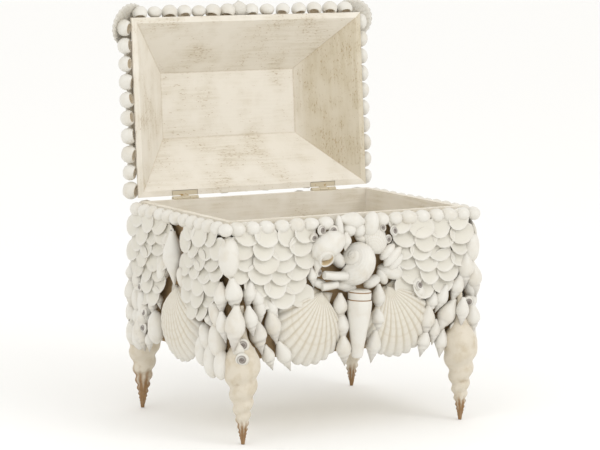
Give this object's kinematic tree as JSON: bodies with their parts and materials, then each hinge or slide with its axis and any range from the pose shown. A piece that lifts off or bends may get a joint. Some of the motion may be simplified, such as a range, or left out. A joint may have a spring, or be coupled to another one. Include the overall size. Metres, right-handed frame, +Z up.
{
  "type": "shell box",
  "caption": "Painted wooden box with a hinged hollow lid, covered in sea shells and standing on spindle-shell legs.",
  "frame": {"origin": "on the table under the middle of the whole object's bounding box, with the lid open", "axes": "+Z up, +X to the right along the long side as seen from the front, +Y from the front to the hinged back"},
  "size_m": [0.3208, 0.305, 0.4293],
  "materials": {
    "painted_wood": "cream paint, brushed and worn",
    "white_shell": "natural white shell, satin",
    "ribbed_shell": "natural cream shell, ribbed",
    "spindle_shell": "natural beige shell with brown tips",
    "brass": "dull"
  },
  "bodies": {
    "chest": {"box_body": "painted_wood", "leg_front_left": "spindle_shell", "leg_front_right": "spindle_shell", "leg_back_left": "spindle_shell", "leg_back_right": "spindle_shell", "hinge_left_chest_leaf": "brass", "hinge_right_chest_leaf": "brass", "cone_shell": "white_shell", "moon_snail": "white_shell", "rim_shells_front_left": "white_shell", "rim_shells_front_right": "white_shell", "rim_shells_left": "white_shell", "rim_shells_right": "white_shell", "rim_shells_back": "white_shell", "rim_bow": "white_shell", "swag_front_left": "white_shell", "swag_front_right": "white_shell", "swag_left_left": "white_shell", "swag_left_right": "white_shell", "swag_right_left": "white_shell", "swag_right_right": "white_shell", "swag_back_left": "white_shell", "swag_back_right": "white_shell", "conch_front": "white_shell", "fan_shell_front": "ribbed_shell", "finger_shell_front": "ribbed_shell", "tusk_pieces_front": "white_shell", "scallop_front_left": "ribbed_shell", "scallop_front_right": "ribbed_shell", "scallop_left": "ribbed_shell", "scallop_right": "ribbed_shell", "scallop_back": "ribbed_shell", "whelk_string_left": "white_shell", "whelk_string_right": "white_shell", "conch_left": "white_shell", "conch_right": "white_shell", "corner_whelks_front_left": "white_shell", "corner_whelks_front_right": "white_shell", "corner_whelks_back_left": "white_shell", "corner_whelks_back_right": "white_shell"},
    "lid": {"lid_body": "painted_wood", "hinge_left_lid_leaf": "brass", "hinge_right_lid_leaf": "brass", "lid_rim_shells_front_left": "white_shell", "lid_rim_shells_front_right": "white_shell", "lid_rim_shells_left": "white_shell", "lid_rim_shells_right": "white_shell", "lid_corner_cockle_left": "ribbed_shell", "lid_corner_cockle_right": "ribbed_shell", "lid_centre_cockle": "ribbed_shell", "lid_scallop_front": "ribbed_shell", "lid_limpets_front_left": "white_shell", "lid_limpets_front_right": "white_shell", "lid_limpets_left": "white_shell", "lid_limpets_right": "white_shell", "lid_limpets_back": "white_shell", "lid_top_snail": "white_shell", "lid_top_scallop_left": "ribbed_shell", "lid_top_scallop_right": "ribbed_shell"}
  },
  "joints": [
    {"name": "lid_hinge", "type": "hinge", "parent": "chest", "child": "lid", "pos_m": [0, 0.0698, 0.2225], "axis": [1, 0, 0], "range_deg": [0, 94.8]}
  ]
}
